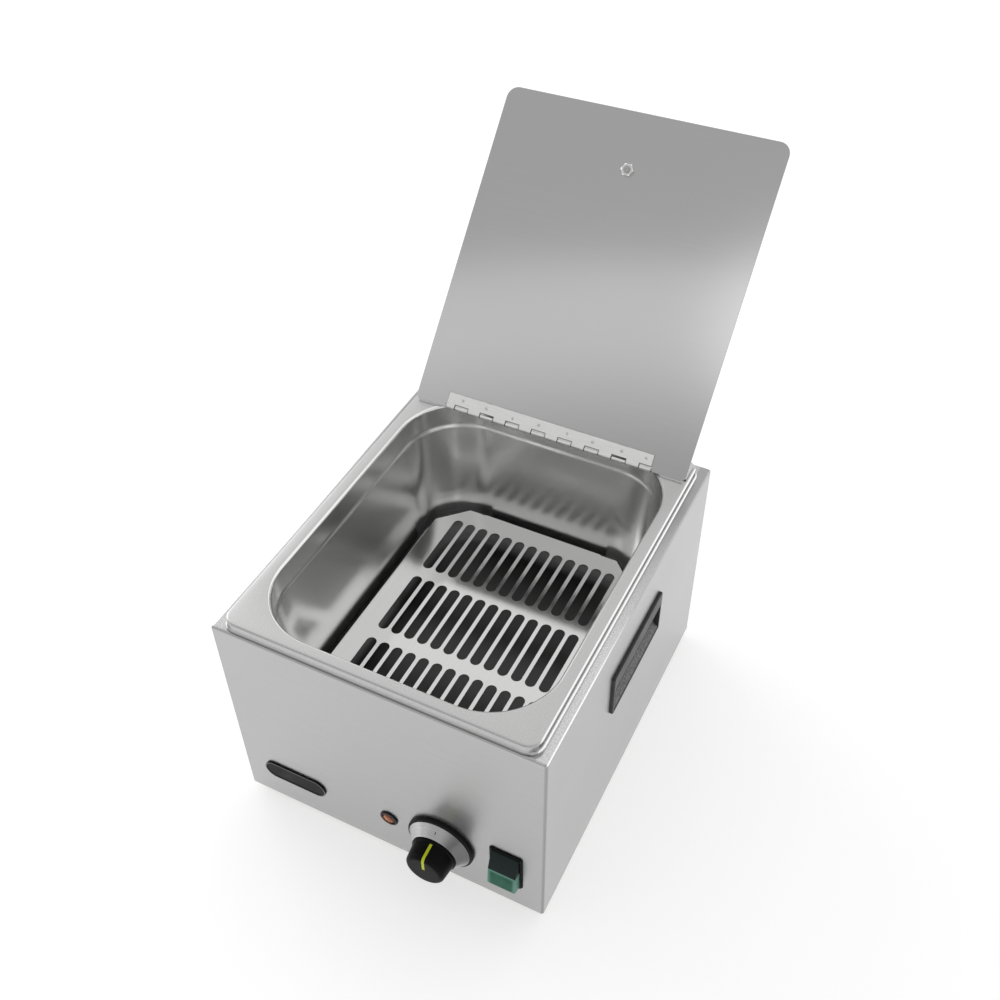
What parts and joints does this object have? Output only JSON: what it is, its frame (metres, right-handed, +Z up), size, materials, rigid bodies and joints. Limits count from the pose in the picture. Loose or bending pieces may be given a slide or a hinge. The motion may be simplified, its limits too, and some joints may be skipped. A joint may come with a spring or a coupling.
{
  "type": "sausage warmer",
  "caption": "Counter-top sausage warmer: stainless jacket, deep-drawn basin with a slotted insert plate, sheet lid on a piano hinge, rotary thermostat, rocker switch and side grips.",
  "frame": {"origin": "on the floor under the middle of the bounding box, lid open", "axes": "+X to the right seen from the front, +Y to the back where the lid leans, +Z up; the controls face -Y"},
  "size_m": [0.2886, 0.5238, 0.4451],
  "materials": {
    "stainless": "fine brushed",
    "hinge_steel": "satin, with the punched notches of a piano hinge",
    "plated_steel": "zinc plated",
    "element_steel": "oxidised sheath",
    "black_plastic": "fine matt grain",
    "aluminium": "turned or rolled",
    "pointer": "smooth",
    "rocker": "translucent, ribbed",
    "lens": "clear, faceted",
    "cream_plastic": "moulded",
    "brass": "stamped",
    "copper": "drawn",
    "rubber": "matt"
  },
  "bodies": {
    "body": {"jacket": "stainless", "base_plate": "plated_steel", "base_screws": "plated_steel", "rubber_feet": "rubber", "basin": "stainless", "fixed_leaf": "hinge_steel", "hinge_pin": "hinge_steel", "rear_strip": "stainless", "dial_ring": "black_plastic", "dial_screws": "plated_steel", "dial_skirt": "aluminium", "thermostat_plate": "plated_steel", "thermostat_body": "cream_plastic", "capillary": "copper", "sensor_bulb": "copper", "bulb_clip": "plated_steel", "switch_frame": "black_plastic", "switch_terminals": "brass", "lamp_bezel": "black_plastic", "lamp_lens": "lens", "lamp_body": "black_plastic", "badge_plate": "black_plastic", "grip_right": "black_plastic", "grip_left": "black_plastic", "heat_spreader": "aluminium", "heating_element": "element_steel", "element_ends": "brass", "clamp_bar": "plated_steel", "clamp_nuts": "brass", "overheat_cutout": "black_plastic", "terminal_block": "cream_plastic", "cord_gland": "black_plastic", "gland_nut": "black_plastic"},
    "lid": {"lid_plate": "stainless", "lid_leaf": "hinge_steel", "lid_knob": "black_plastic", "knob_stud": "plated_steel", "knob_nut": "plated_steel"},
    "dial": {"thermostat_knob": "black_plastic", "knob_pointer": "pointer", "thermostat_shaft": "plated_steel"},
    "rocker": {"switch_rocker": "rocker"},
    "insert": {"insert_plate": "stainless"}
  },
  "joints": [
    {"name": "lid_hinge", "type": "hinge", "parent": "body", "child": "lid", "pos_m": [0, 0.06681, 0.2308], "axis": [1, 0, 0], "range_deg": [0, 132.5]},
    {"name": "thermostat_turn", "type": "hinge", "parent": "body", "child": "dial", "pos_m": [0.051, -0.23179, 0.0545], "axis": [0, 1, 0], "range_deg": [0, 300]},
    {"name": "rocker_tilt", "type": "hinge", "parent": "body", "child": "rocker", "pos_m": [0.109, -0.22879, 0.059], "axis": [1, 0, 0], "range_deg": [0, 24]},
    {"name": "insert_lift", "type": "slide", "parent": "body", "child": "insert", "axis": [0, 0, 1], "range_m": [0, 0.11]}
  ]
}
